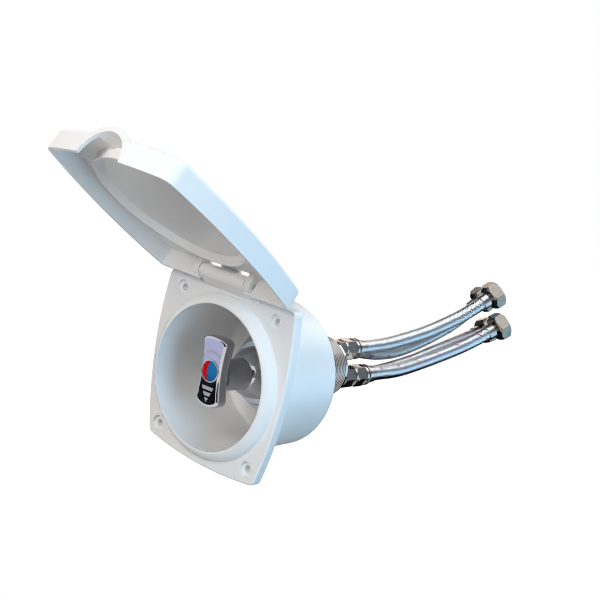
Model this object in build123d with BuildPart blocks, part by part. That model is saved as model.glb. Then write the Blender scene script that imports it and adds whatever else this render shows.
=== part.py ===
from build123d import *
import os
from math import asin, cos, hypot, pi, radians, sin, tan

# Concealed mixer tap: a lidded box let into a wall, with a single-lever mixer and four hoses.
# Millimetres. Seen from the front, +X is to the right, +Z is up and +Y goes into the wall.
# The origin is on the flange's back face, at the centre of its four screw holes.

# Flange and screw holes
FLANGE_THICK = 7.2
FLANGE_TOP_Z = 62.9
FLANGE_TOP_HALF = 61.4
FLANGE_BOTTOM_Z = -61.6
FLANGE_BOTTOM_HALF = 54.3
FLANGE_SIDE_BOW = 7.0
FLANGE_END_BOW = 4.9
FLANGE_CORNER_R = 5.0
FLANGE_EDGE_R = 1.4
FLANGE_FACE_WALL = 3.2
FLANGE_SKIRT_WALL = 2.8
SCREW_PITCH_X = 92.5
SCREW_PITCH_Z = 104.8
SCREW_HOLE_R = 2.5
SCREW_HEAD_R = 5.6
SCREW_HEAD_DEPTH = 2.2
SCREW_BOSS_R = 9.0

# Bowl and its mouth
AXIS_Z = -0.9
BOWL_OUT_FRONT_R = 56.1
BOWL_OUT_DRAFT = 0.3
BOWL_FRONT_WALL = 3.9
BOWL_BACK_WALL = 3.3
BOWL_LENGTH = 65.2
BOWL_FLOOR = 3.2
BOWL_OUT_CORNER_R = 5.0
BOWL_IN_CORNER_R = 3.0
MOUTH_PROUD = 7.2
MOUTH_LIP = 1.2
MOUTH_FLANK = 6.2

# Hinge
HINGE_Y = -14.2
HINGE_Z = 71.5
HINGE_PIN_R = 2.0
HINGE_PLAY = 0.05
KNUCKLE_R = 4.8
KNUCKLE_HALF = 21.8
KNUCKLE_ROOT_Z = 60.0
HINGE_PAD_HALF = 27.0
HINGE_PAD_BOTTOM_Z = 58.6
HINGE_PAD_TOP_Z = 66.0
HINGE_PAD_RAISE = 0.8
HINGE_PAD_CORNER_R = 1.5
LUG_GAP = 0.5
LUG_WIDTH = 5.5
LUG_R = 5.0

# Lid, in its own plane: W runs from the hinge edge to the free edge, N outwards from the open edge
LID_OPEN_ANGLE = 121.9
LID_AXIS_W = 2.2
LID_AXIS_N = 6.6
LID_LENGTH = 137.1
LID_HINGE_HALF = 62.8
LID_FREE_HALF = 56.6
LID_SIDE_BOW = 7.5
LID_FREE_BOW = 6.8
LID_HEIGHT = 15.7
LID_WALL = 2.2
LID_HINGE_CORNER_R = 4.5
LID_FREE_CORNER_R = 9.0
LID_EDGE_R = 3.2
LID_RING_R = 55.0
LID_RING_HEIGHT = 5.5
LID_RING_FLANK = 2.2
LID_RING_CREST = 0.8
LID_DISC_R = 50.5
LID_DISC_RAISE = 1.0
KNUCKLE_CUT_GAP = 0.25
HINGE_SLOT_IN = 9.0
HINGE_SLOT_OUT = 20.0
HINGE_SLOT_LENGTH = 6.0
SCOOP_R = 19.5
SCOOP_APEX = 16.9
SCOOP_SLOPE = 13.0
SCOOP_DEPTH = 11.0
BUMP_R = 30.0
BUMP_APEX = 19.9
BUMP_LENGTH = 45.0
SCOOP_LEAD = 14.0

# Mixer body, its fixings and the ball cover
PIVOT_Y = 36.7
BALL_R = 19.8
BALL_WALL = 1.8
BALL_OPENING_R = 10.5
COVER_SKIRT_R = 24.5
COVER_SKIRT_WALL = 2.0
COVER_STEP_Y = 38.0
COVER_STEP_WALL = 1.8
BODY_FRONT_Y = 40.6
SHANK_R = 24.0
SHANK_PLAY = 0.3
SHANK_BACK = 55.8
BODY_RING_Y = 47.2
BODY_RING_LAND = 6.6
BODY_RING_R = SHANK_R + BODY_RING_LAND
GASKET_THICK = 1.5
BACK_WASHER_LAND = 7.0
BACK_WASHER_R = SHANK_R + BACK_WASHER_LAND
BACK_WASHER_THICK = 2.0
BACK_NUT_HEX = 60.0
BACK_NUT_THICK = 8.0
BACK_NUT_CHAMFER = 1.2
FIT_PLAY = 0.1
EDGE_BREAK = 0.8

# Ceramic cartridge
CARTRIDGE_R = 17.4
CARTRIDGE_NECK_R = 14.4
CARTRIDGE_NECK_Y = 31.5
CARTRIDGE_SHOULDER_Y = 45.6
CARTRIDGE_SEAT_Y = 61.0
CARTRIDGE_LIP = 1.6
CARTRIDGE_MOUTH_R = 9.5
CARTRIDGE_NUT_R = 20.0
TURRET_R = 12.0
TURRET_FLANGE_R = 15.5
TURRET_FLANGE_THICK = 3.0
RUNNING_PLAY = 0.05
DISC_CHAMBER_Y = 47.0
SLIDER_WIDTH = 14.0
SLIDER_HEIGHT = 16.0
SLIDER_THICK = 2.2
POCKET_PLAY = 0.1
POCKET_FLOOR = 1.0
MIX_CHAMBER_DEPTH = 1.6
MIX_CHAMBER_LENGTH = 15.0
MIX_CHAMBER_WIDTH = 8.0
SLOT_HEIGHT = 15.0
MOVING_DISC_R = 11.4
MOVING_DISC_THICK = 3.0
FIXED_DISC_R = 15.4
FIXED_DISC_THICK = 2.6
PORT_R = 3.0
PORT_PITCH_R = 9.0
SEAL_SECTION = 1.1

# Stem and lever
LEVER_LEAN = 3.0
TILT_RANGE = 20.0
TILT_PIN_R = 1.5
STEM_WIDTH = 6.4
STEM_FRONT_Y = 3.0
STEM_HUB_R = 4.4
STEM_TAIL_R = 1.9
STEM_TAIL_LENGTH = 11.5
STEM_TIP_R = 2.4
SHIELD_MARGIN = 1.5
SHIELD_THICK = 1.1
SHIELD_GAP = 0.3
NECK_R = 12.0
NECK_FRONT_R = 10.4
NECK_FRONT_Y = -0.7
NECK_GAP = 0.4
LEVER_THICK = 10.5
LEVER_TOP = 29.4
LEVER_BOTTOM = -22.4
LEVER_SHOULDER = 2.0
LEVER_HEEL = 4.5
LEVER_TOP_HALF = 12.2
LEVER_BOTTOM_HALF = 11.8
LEVER_WAIST_HALF = 9.7
LEVER_WAIST_Z = 4.0
LEVER_CORNER_R = 4.2
LEVER_FRONT_R = 2.6
LEVER_BACK_R = 3.2
CAP_R = 8.2
CAP_RISE = 4.5
CAP_RING_WALL = 1.1
CAP_RING_PROUD = 0.9
CAP_RING_EDGE_R = 0.4
CAP_SEAT_DEPTH = 1.8
CAP_DOME = 2.3
SCREW_R = 2.0
SCREW_CAP_R = 3.3
SCREW_CAP_HEIGHT = 2.6
SCREW_LENGTH = 20.0
SCREW_HEX = 3.0
SCREW_HEX_DEPTH = 1.3

# Hose fittings. Each hose starts behind the shank at its place on a circle about the spindle
FITTING_PITCH_R = 15.7
FITTING_TURN = 70.0
NIPPLE_R = 5.0
NIPPLE_DEPTH = 9.0
NIPPLE_BORE_R = 2.6
NIPPLE_BOSS_R = 7.2
NIPPLE_BOSS_LENGTH = 2.6
NIPPLE_HEX_R = 8.8
NIPPLE_RING_R = 8.6
NIPPLE_RING_LENGTH = 1.8
NIPPLE_NECK_R = 6.6
NIPPLE_NECK_LENGTH = 1.0
NIPPLE_SHORT = 11.0
NIPPLE_LONG = 18.8
NEAR_NUT_LENGTH = 18.0
NEAR_NUT_HEX_R = 9.3
NEAR_NUT_SHOULDER_R = 8.9
NEAR_NUT_SHOULDER = 6.4
NEAR_NUT_GROOVE_DEPTH = 0.7
NEAR_NUT_GROOVE_LAND = 1.8
NEAR_NUT_EDGE_R = 0.7
NEAR_NUT_CHAMFER = 0.9
FERRULE_LENGTH = 10.2
FERRULE_R = 7.1
FERRULE_END_WALL = 1.2
FERRULE_EDGE_R = 0.4
FAR_FERRULE_GRIP = 6.0
HOSE_R = 6.15
TAIL_R = 5.6
TAIL_BORE_R = 3.5
TAIL_GAP = 1.6
TAIL_FLANGE_R = 9.2
TAIL_FLANGE_THICK = 1.6
SWIVEL_HEX = 23.0
SWIVEL_LENGTH = 11.4
SWIVEL_END_WALL = 2.4
SWIVEL_THREAD_R = 10.3
SWIVEL_RELIEF_R = 10.8
SWIVEL_RELIEF_PAST_WASHER = 0.5
SWIVEL_CHAMFER = 2.4
SWIVEL_PLAY = 0.1
WASHER_THICK = 2.0
WASHER_R = 10.0

# Routes of the four hoses, from inside the near ferrule to inside the far ferrule
UPPER_FRONT_ROUTE = [(7.5, 194.5, 16.0), (11.0, 217.0, 21.0), (17.0, 238.5, 28.0),
                     (24.0, 258.5, 38.0), (32.5, 277.0, 50.0), (40.4, 292.2, 64.6)]
LOWER_FRONT_ROUTE = [(17.0, 201.5, -5.5), (20.0, 223.5, -1.0), (25.5, 244.5, 6.0),
                     (32.5, 264.5, 14.5), (41.0, 283.0, 25.0), (49.6, 299.2, 37.8)]
LOWER_BACK_ROUTE = [(-4.0, 201.0, -14.0), (-0.5, 227.0, -9.5), (4.0, 253.0, -3.0),
                    (9.5, 277.5, 7.0), (17.0, 301.0, 17.0), (25.9, 321.6, 27.6)]
UPPER_BACK_ROUTE = [(-12.0, 206.5, 1.0), (-7.5, 232.0, 2.5), (-2.0, 255.5, 10.5),
                    (5.0, 277.5, 22.0), (13.0, 297.5, 36.0), (20.6, 312.6, 54.3)]
FRONT_LEAD = 20.0
BACK_LEAD = 22.5
ARC_SHARE = 0.45

# Derived places
MOUTH_Y = -FLANGE_THICK - MOUTH_PROUD
BOWL_OUT_BACK_R = BOWL_OUT_FRONT_R - BOWL_OUT_DRAFT
BOWL_IN_FRONT_R = BOWL_OUT_FRONT_R - BOWL_FRONT_WALL
BOWL_IN_BACK_R = BOWL_OUT_BACK_R - BOWL_BACK_WALL
BOWL_FLOOR_Y = BOWL_LENGTH - BOWL_FLOOR
BODY_SEAT_Y = BOWL_FLOOR_Y - GASKET_THICK
SHANK_END_Y = BOWL_LENGTH + SHANK_BACK
LUG_INNER = KNUCKLE_HALF + LUG_GAP
LUG_OUTER = LUG_INNER + LUG_WIDTH

# Planes and axes. SPINDLE is the mixer's axis, and PROFILE holds half sections as (depth, radius)
SPINDLE = Axis((0, 0, AXIS_Z), (0, 1, 0))
PROFILE = Plane(origin=(0, 0, AXIS_Z), x_dir=(0, 1, 0), z_dir=(1, 0, 0))
FRONT = Plane(origin=(0, 0, AXIS_Z), x_dir=(1, 0, 0), z_dir=(0, -1, 0))
LEAN = radians(LEVER_LEAN)
TURN = Plane(origin=(0, 0, AXIS_Z), x_dir=(cos(LEAN), 0, sin(LEAN)), z_dir=(0, -1, 0))
TILT = Plane(origin=(0, PIVOT_Y, AXIS_Z), x_dir=(0, 1, 0), z_dir=(cos(LEAN), 0, sin(LEAN)))
OPEN = radians(LID_OPEN_ANGLE)
LID = Plane(origin=(0, HINGE_Y, HINGE_Z), x_dir=(-1, 0, 0), z_dir=(0, -cos(OPEN), sin(OPEN)))
LID_AXIS = Axis(LID.origin, LID.z_dir)
LID_SIDE = Plane(origin=(0, HINGE_Y, HINGE_Z), x_dir=LID.y_dir, z_dir=LID.x_dir)


def finish(piece, name):
    """Label a finished piece and write its file."""
    piece.part.label = name
    export_step(piece.part, f"parts/{name}.step")


def half_section(points):
    """Closed half section in the spindle's plane, from (depth, radius) points."""
    with BuildSketch(PROFILE) as section:
        with BuildLine():
            Polyline(*points, close=True)
        make_face()
    return section.sketch


def bow(start, end, rise):
    """Middle point of an arc from start to end that bows out to its right by rise."""
    run_x = end[0] - start[0]
    run_y = end[1] - start[1]
    run = hypot(run_x, run_y)
    return ((start[0] + end[0]) / 2 + rise * run_y / run, (start[1] + end[1]) / 2 - rise * run_x / run)


os.makedirs("parts", exist_ok=True)


# Housing: flange, mouth collar, bowl and hinge knuckle in one moulding
def flange_outline(inset):
    """Flange outline in the wall's plane, with bowed edges and rounded corners."""
    low_left = (-FLANGE_BOTTOM_HALF, FLANGE_BOTTOM_Z)
    low_right = (FLANGE_BOTTOM_HALF, FLANGE_BOTTOM_Z)
    high_right = (FLANGE_TOP_HALF, FLANGE_TOP_Z)
    high_left = (-FLANGE_TOP_HALF, FLANGE_TOP_Z)
    with BuildSketch(Plane.XZ) as outline:
        with BuildLine():
            ThreePointArc(low_left, bow(low_left, low_right, FLANGE_END_BOW), low_right)
            ThreePointArc(low_right, bow(low_right, high_right, FLANGE_SIDE_BOW), high_right)
            ThreePointArc(high_right, bow(high_right, high_left, FLANGE_END_BOW), high_left)
            ThreePointArc(high_left, bow(high_left, low_left, FLANGE_SIDE_BOW), low_left)
        make_face()
        if inset > 0:
            offset(amount=-inset, kind=Kind.INTERSECTION, mode=Mode.REPLACE)
        fillet(outline.vertices(), FLANGE_CORNER_R - inset)
    return outline.sketch


with BuildPart() as housing:
    extrude(flange_outline(0), amount=FLANGE_THICK)
    fillet(housing.faces().sort_by(Axis.Y)[0].edges(), FLANGE_EDGE_R)
    with BuildSketch(PROFILE) as bowl_section:
        with BuildLine():
            Line((0, 0), (BOWL_LENGTH, 0))
            Line((BOWL_LENGTH, 0), (BOWL_LENGTH, BOWL_OUT_BACK_R))
            Line((BOWL_LENGTH, BOWL_OUT_BACK_R), (0, BOWL_OUT_FRONT_R))
            Line((0, BOWL_OUT_FRONT_R), (0, 0))
        make_face()
        fillet(bowl_section.vertices().group_by(Axis.X)[-1].sort_by(Axis.Y)[-1], BOWL_OUT_CORNER_R)
    revolve(axis=SPINDLE)
    lip_edge_r = BOWL_IN_FRONT_R + MOUTH_LIP
    flank_foot_r = lip_edge_r + MOUTH_FLANK
    with BuildSketch(PROFILE) as collar_section:
        with BuildLine():
            Polyline((MOUTH_Y, lip_edge_r), (MOUTH_Y, 0), (-FLANGE_THICK / 2, 0),
                     (-FLANGE_THICK / 2, flank_foot_r), (-FLANGE_THICK, flank_foot_r))
            ThreePointArc((-FLANGE_THICK, flank_foot_r),
                          bow((-FLANGE_THICK, flank_foot_r), (MOUTH_Y, lip_edge_r), MOUTH_LIP),
                          (MOUTH_Y, lip_edge_r))
        make_face()
    revolve(axis=SPINDLE)
    with BuildSketch(PROFILE) as cavity_section:
        with BuildLine():
            Polyline((MOUTH_Y, 0), (BOWL_FLOOR_Y, 0), (BOWL_FLOOR_Y, BOWL_IN_BACK_R),
                     (MOUTH_Y, BOWL_IN_FRONT_R), close=True)
        make_face()
        fillet(cavity_section.vertices().group_by(Axis.X)[-1].sort_by(Axis.Y)[-1], BOWL_IN_CORNER_R)
    revolve(axis=SPINDLE, mode=Mode.SUBTRACT)
    with BuildSketch(FRONT.offset(-BOWL_LENGTH)):
        Circle(SHANK_R + SHANK_PLAY)
    extrude(amount=BOWL_FLOOR, mode=Mode.SUBTRACT)
    with BuildSketch(FRONT.offset(FLANGE_THICK)):
        with Locations((0, (HINGE_PAD_TOP_Z + HINGE_PAD_BOTTOM_Z) / 2 - AXIS_Z)):
            RectangleRounded(2 * HINGE_PAD_HALF, HINGE_PAD_TOP_Z - HINGE_PAD_BOTTOM_Z, HINGE_PAD_CORNER_R)
    extrude(amount=HINGE_PAD_RAISE)
    with BuildSketch(Plane.YZ.offset(-KNUCKLE_HALF)) as knuckle_section:
        with BuildLine():
            CenterArc((HINGE_Y, HINGE_Z), KNUCKLE_R, 0, 360)
            Polyline((-FLANGE_THICK, KNUCKLE_ROOT_Z), (-FLANGE_EDGE_R, KNUCKLE_ROOT_Z),
                     (-FLANGE_EDGE_R, FLANGE_TOP_Z + FLANGE_END_BOW), (-FLANGE_THICK, KNUCKLE_ROOT_Z))
        make_hull()
    extrude(amount=2 * KNUCKLE_HALF)
    with BuildSketch(Plane.YZ.offset(-KNUCKLE_HALF)):
        with Locations((HINGE_Y, HINGE_Z)):
            Circle(HINGE_PIN_R)
    extrude(amount=2 * KNUCKLE_HALF, mode=Mode.SUBTRACT)
    with BuildSketch(Plane.XZ) as back_pocket:
        add(flange_outline(FLANGE_SKIRT_WALL))
        with Locations((0, AXIS_Z)):
            Circle(BOWL_OUT_FRONT_R, mode=Mode.SUBTRACT)
        with GridLocations(SCREW_PITCH_X, SCREW_PITCH_Z, 2, 2):
            Circle(SCREW_BOSS_R, mode=Mode.SUBTRACT)
    extrude(amount=FLANGE_THICK - FLANGE_FACE_WALL, mode=Mode.SUBTRACT)
    with Locations(Plane.XZ.offset(FLANGE_THICK)):
        with GridLocations(SCREW_PITCH_X, SCREW_PITCH_Z, 2, 2):
            CounterBoreHole(SCREW_HOLE_R, SCREW_HEAD_R, SCREW_HEAD_DEPTH, FLANGE_THICK)
finish(housing, "housing")

with BuildPart() as hinge_pin:
    pin_half = LUG_OUTER - FIT_PLAY
    with BuildSketch(Plane.YZ.offset(-pin_half)):
        with Locations((HINGE_Y, HINGE_Z)):
            Circle(HINGE_PIN_R)
    extrude(amount=2 * pin_half)
finish(hinge_pin, "hinge_pin")


# Lid: a shallow moulded cover, shown open. Its local places are counted from the hinge axis
def lid_outline(inset, level):
    """Lid outline in a plane level above the hinge axis, straight at the hinge and bowed elsewhere."""
    hinge_w = -LID_AXIS_W
    free_w = hinge_w + LID_LENGTH
    hinge_left = (-LID_HINGE_HALF, hinge_w)
    hinge_right = (LID_HINGE_HALF, hinge_w)
    free_right = (LID_FREE_HALF, free_w)
    free_left = (-LID_FREE_HALF, free_w)
    with BuildSketch(LID.offset(level)) as outline:
        with BuildLine():
            Line(hinge_left, hinge_right)
            ThreePointArc(hinge_right, bow(hinge_right, free_right, LID_SIDE_BOW), free_right)
            ThreePointArc(free_right, bow(free_right, free_left, LID_FREE_BOW), free_left)
            ThreePointArc(free_left, bow(free_left, hinge_left, LID_SIDE_BOW), hinge_left)
        make_face()
        if inset > 0:
            offset(amount=-inset, kind=Kind.INTERSECTION, mode=Mode.REPLACE)
        fillet(outline.vertices().sort_by(Axis.Y)[:2], LID_HINGE_CORNER_R - inset)
        fillet(outline.vertices().sort_by(Axis.Y)[-2:], LID_FREE_CORNER_R - inset)
    return outline.sketch


open_edge_n = -LID_AXIS_N
panel_n = open_edge_n + LID_HEIGHT - LID_WALL
free_edge_w = LID_LENGTH + LID_FREE_BOW - LID_AXIS_W
scoop_run = LID.y_dir * -cos(radians(SCOOP_SLOPE)) - LID.z_dir * sin(radians(SCOOP_SLOPE))
tunnel_centre = (0, free_edge_w, open_edge_n + SCOOP_APEX - SCOOP_R)
bump_centre = (0, free_edge_w, open_edge_n + BUMP_APEX - BUMP_R)
TUNNEL = Plane(origin=LID.from_local_coords(tunnel_centre), x_dir=LID.x_dir, z_dir=scoop_run)
BUMP = Plane(origin=LID.from_local_coords(bump_centre), x_dir=LID.x_dir, z_dir=scoop_run)

with BuildPart() as scoop_bump:
    with BuildSketch(BUMP.offset(-SCOOP_LEAD)):
        Circle(BUMP_R)
    extrude(amount=SCOOP_LEAD + BUMP_LENGTH)
    extrude(lid_outline(0, panel_n), amount=BUMP_APEX, mode=Mode.INTERSECT)

with BuildPart() as lid:
    extrude(lid_outline(0, open_edge_n), amount=LID_HEIGHT)
    fillet(lid.faces().sort_by(LID_AXIS)[-1].edges(), LID_EDGE_R)
    extrude(lid_outline(LID_WALL, open_edge_n), amount=LID_HEIGHT - LID_WALL, mode=Mode.SUBTRACT)
    add(scoop_bump.part)
    with BuildSketch(TUNNEL.offset(-SCOOP_LEAD)):
        Circle(SCOOP_R)
    extrude(amount=SCOOP_LEAD + SCOOP_DEPTH, mode=Mode.SUBTRACT)
    ring_w = HINGE_Z - AXIS_Z
    crest_n = panel_n - LID_RING_HEIGHT
    disc_n = panel_n - LID_DISC_RAISE
    with BuildSketch(LID_SIDE):
        with BuildLine():
            Polyline((ring_w, panel_n + LID_WALL / 2), (ring_w, disc_n), (ring_w + LID_DISC_R, disc_n),
                     (ring_w + LID_RING_R, crest_n), (ring_w + LID_RING_R + LID_RING_CREST, crest_n),
                     (ring_w + LID_RING_R + LID_RING_FLANK, panel_n),
                     (ring_w + LID_RING_R + LID_RING_FLANK, panel_n + LID_WALL / 2), close=True)
        make_face()
    revolve(axis=Axis(LID.from_local_coords((0, ring_w, 0)), LID.z_dir))
    with BuildSketch(LID_SIDE.offset(-LUG_INNER)):
        with BuildLine():
            Polyline((-LUG_R, open_edge_n), (LUG_R, open_edge_n), (LUG_R, KNUCKLE_R + KNUCKLE_CUT_GAP),
                     (-LUG_R, KNUCKLE_R + KNUCKLE_CUT_GAP), close=True)
        make_face()
    extrude(amount=2 * LUG_INNER, mode=Mode.SUBTRACT)
    slot_end_w = HINGE_SLOT_LENGTH - LID_AXIS_W
    for slot_start in (HINGE_SLOT_IN, -HINGE_SLOT_OUT):
        with BuildSketch(LID_SIDE.offset(slot_start)):
            with BuildLine():
                Polyline((-LUG_R, disc_n), (slot_end_w, disc_n), (slot_end_w, LID_HEIGHT),
                         (-LUG_R, LID_HEIGHT), close=True)
            make_face()
        extrude(amount=HINGE_SLOT_OUT - HINGE_SLOT_IN, mode=Mode.SUBTRACT)
    for lug_start in (LUG_INNER, -LUG_OUTER):
        with BuildSketch(LID_SIDE.offset(lug_start)):
            Circle(LUG_R)
            with BuildLine():
                Polyline((-LID_AXIS_W, 0), (LUG_R, 0), (LUG_R, panel_n + LID_WALL / 2),
                         (-LID_AXIS_W, panel_n + LID_WALL / 2), close=True)
            make_face()
        extrude(amount=LUG_WIDTH)
    with BuildSketch(LID_SIDE.offset(-LUG_OUTER)):
        Circle(HINGE_PIN_R + HINGE_PLAY)
    extrude(amount=2 * LUG_OUTER, mode=Mode.SUBTRACT)
finish(lid, "lid")


def opened_ring(front, back, inner, outer):
    """Half section of a plain ring about the spindle."""
    return half_section([(front, inner), (front, outer), (back, outer), (back, inner)])


def ball_point(radius, angle):
    """Point of a sphere about the pivot, in the half section's plane, angle from the front pole."""
    return (PIVOT_Y - radius * cos(angle), radius * sin(angle))


def fitting_places():
    """Places of the four hose fittings on the shank's end, seen from the front."""
    return PolarLocations(FITTING_PITCH_R, 4, start_angle=FITTING_TURN)


def port_places():
    """Places of the four ports in the cartridge's fixed disc and base."""
    return PolarLocations(PORT_PITCH_R, 4, start_angle=FITTING_TURN)


# Mixer body: cartridge chamber, seat ring and threaded shank in one casting, with slanted passages
with BuildPart() as mixer_body:
    thread_r = COVER_SKIRT_R - COVER_SKIRT_WALL - FIT_PLAY
    chamber_r = CARTRIDGE_R + FIT_PLAY
    revolve(half_section([(BODY_FRONT_Y, CARTRIDGE_NUT_R), (BODY_FRONT_Y, thread_r),
                          (BODY_RING_Y, thread_r), (BODY_RING_Y, BODY_RING_R - EDGE_BREAK),
                          (BODY_RING_Y + EDGE_BREAK, BODY_RING_R), (BODY_SEAT_Y, BODY_RING_R),
                          (BODY_SEAT_Y, SHANK_R), (SHANK_END_Y - EDGE_BREAK, SHANK_R),
                          (SHANK_END_Y, SHANK_R - EDGE_BREAK), (SHANK_END_Y, 0), (CARTRIDGE_SEAT_Y, 0),
                          (CARTRIDGE_SEAT_Y, chamber_r), (CARTRIDGE_SHOULDER_Y, chamber_r),
                          (CARTRIDGE_SHOULDER_Y, CARTRIDGE_NUT_R)]), axis=SPINDLE)
    with BuildSketch(FRONT.offset(-SHANK_END_Y)):
        with fitting_places():
            Circle(NIPPLE_R)
    extrude(amount=NIPPLE_DEPTH, mode=Mode.SUBTRACT)
    for quarter in range(4):
        way = radians(FITTING_TURN + 90 * quarter)
        port = Vector(PORT_PITCH_R * cos(way), CARTRIDGE_SEAT_Y, AXIS_Z + PORT_PITCH_R * sin(way))
        socket = Vector(FITTING_PITCH_R * cos(way), SHANK_END_Y - NIPPLE_DEPTH,
                        AXIS_Z + FITTING_PITCH_R * sin(way))
        with BuildSketch(Plane(origin=socket, z_dir=port - socket).offset(-NIPPLE_BORE_R)):
            Circle(NIPPLE_BORE_R)
        extrude(amount=(port - socket).length + 2 * NIPPLE_BORE_R, mode=Mode.SUBTRACT)
finish(mixer_body, "mixer_body")

with BuildPart() as body_gasket:
    revolve(opened_ring(BODY_SEAT_Y, BOWL_FLOOR_Y, SHANK_R + FIT_PLAY, BODY_RING_R - FIT_PLAY), axis=SPINDLE)
finish(body_gasket, "body_gasket")

with BuildPart() as back_washer:
    washer_back_y = BOWL_LENGTH + BACK_WASHER_THICK
    revolve(opened_ring(BOWL_LENGTH, washer_back_y, SHANK_R + SHANK_PLAY, BACK_WASHER_R), axis=SPINDLE)
finish(back_washer, "back_washer")

with BuildPart() as back_nut:
    with BuildSketch(FRONT.offset(-washer_back_y - BACK_NUT_THICK)):
        RegularPolygon(BACK_NUT_HEX / 2, 6, major_radius=False)
    extrude(amount=BACK_NUT_THICK)
    chamfer(back_nut.faces().sort_by(Axis.Y)[-1].edges(), BACK_NUT_CHAMFER)
    with BuildSketch(FRONT.offset(-washer_back_y)):
        Circle(SHANK_R + FIT_PLAY)
    extrude(amount=-BACK_NUT_THICK, mode=Mode.SUBTRACT)
finish(back_nut, "back_nut")

# Ball cover: dome with an opening for the stem, stepped to a skirt that screws on the body
with BuildPart() as ball_cover:
    inner_ball_r = BALL_R - BALL_WALL
    step_in_y = COVER_STEP_Y + COVER_STEP_WALL
    outer_start = asin(BALL_OPENING_R / BALL_R)
    outer_end = pi / 2 + asin((COVER_STEP_Y - PIVOT_Y) / BALL_R)
    inner_start = asin(BALL_OPENING_R / inner_ball_r)
    inner_end = pi / 2 + asin((step_in_y - PIVOT_Y) / inner_ball_r)
    skirt_end_y = BODY_RING_Y - FIT_PLAY
    with BuildSketch(PROFILE) as cover_section:
        with BuildLine():
            ThreePointArc(ball_point(BALL_R, outer_start), ball_point(BALL_R, (outer_start + outer_end) / 2),
                          ball_point(BALL_R, outer_end))
            Polyline(ball_point(BALL_R, outer_end), (COVER_STEP_Y, COVER_SKIRT_R - EDGE_BREAK),
                     (COVER_STEP_Y + EDGE_BREAK, COVER_SKIRT_R), (skirt_end_y, COVER_SKIRT_R),
                     (skirt_end_y, COVER_SKIRT_R - COVER_SKIRT_WALL),
                     (step_in_y, COVER_SKIRT_R - COVER_SKIRT_WALL), ball_point(inner_ball_r, inner_end))
            ThreePointArc(ball_point(inner_ball_r, inner_end),
                          ball_point(inner_ball_r, (inner_start + inner_end) / 2),
                          ball_point(inner_ball_r, inner_start))
            Line(ball_point(inner_ball_r, inner_start), ball_point(BALL_R, outer_start))
        make_face()
    revolve(axis=SPINDLE)
finish(ball_cover, "ball_cover")

with BuildPart() as cartridge_nut:
    nut_hole_r = CARTRIDGE_NECK_R + FIT_PLAY
    revolve(opened_ring(BODY_FRONT_Y, CARTRIDGE_SHOULDER_Y, nut_hole_r, CARTRIDGE_NUT_R), axis=SPINDLE)
finish(cartridge_nut, "cartridge_nut")

# Cartridge: housing with the turret, the sliding upper disc, the fixed lower disc, base and seals
turret_flange_y = DISC_CHAMBER_Y + RUNNING_PLAY
turret_back_y = turret_flange_y + TURRET_FLANGE_THICK
slider_back_y = turret_back_y + FIT_PLAY + SLIDER_THICK
moving_disc_y = slider_back_y
fixed_disc_y = moving_disc_y + MOVING_DISC_THICK + RUNNING_PLAY
base_front_y = fixed_disc_y + FIXED_DISC_THICK

with BuildPart() as cartridge_housing:
    disc_chamber_r = TURRET_FLANGE_R + RUNNING_PLAY
    turret_bore_r = TURRET_R + RUNNING_PLAY
    lip_back_y = CARTRIDGE_NECK_Y + CARTRIDGE_LIP
    revolve(half_section([(CARTRIDGE_NECK_Y, CARTRIDGE_MOUTH_R), (CARTRIDGE_NECK_Y, CARTRIDGE_NECK_R),
                          (CARTRIDGE_SHOULDER_Y, CARTRIDGE_NECK_R), (CARTRIDGE_SHOULDER_Y, CARTRIDGE_R),
                          (base_front_y, CARTRIDGE_R), (base_front_y, disc_chamber_r),
                          (DISC_CHAMBER_Y, disc_chamber_r), (DISC_CHAMBER_Y, turret_bore_r),
                          (lip_back_y, turret_bore_r), (lip_back_y, CARTRIDGE_MOUTH_R)]), axis=SPINDLE)
finish(cartridge_housing, "cartridge_housing")

with BuildPart() as turret:
    turret_front_y = lip_back_y + RUNNING_PLAY
    with BuildSketch(TURN.offset(-turret_back_y)):
        Circle(TURRET_R)
    extrude(amount=turret_back_y - turret_front_y)
    with BuildSketch(TURN.offset(-turret_back_y)):
        Circle(TURRET_FLANGE_R)
    extrude(amount=TURRET_FLANGE_THICK)
    with BuildSketch(TURN.offset(-turret_back_y)):
        Rectangle(STEM_WIDTH + 2 * FIT_PLAY, SLOT_HEIGHT)
    extrude(amount=turret_back_y - turret_front_y, mode=Mode.SUBTRACT)
    with BuildSketch(TURN.offset(-turret_back_y)):
        Rectangle(SLIDER_WIDTH + 2 * RUNNING_PLAY, 2 * TURRET_FLANGE_R)
    extrude(amount=SLIDER_THICK, mode=Mode.SUBTRACT)
    with BuildSketch(TILT.offset(-TURRET_R)):
        Circle(TILT_PIN_R)
    extrude(amount=2 * TURRET_R, mode=Mode.SUBTRACT)
finish(turret, "turret")

with BuildPart() as tilt_pin:
    pin_reach = TURRET_R - EDGE_BREAK
    with BuildSketch(TILT.offset(-pin_reach)):
        Circle(TILT_PIN_R)
    extrude(amount=2 * pin_reach)
finish(tilt_pin, "tilt_pin")

# The disc's middle lies half a travel above the stem's tip, so the travel is even about the spindle
disc_travel = STEM_TAIL_LENGTH * sin(radians(TILT_RANGE))

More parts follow.
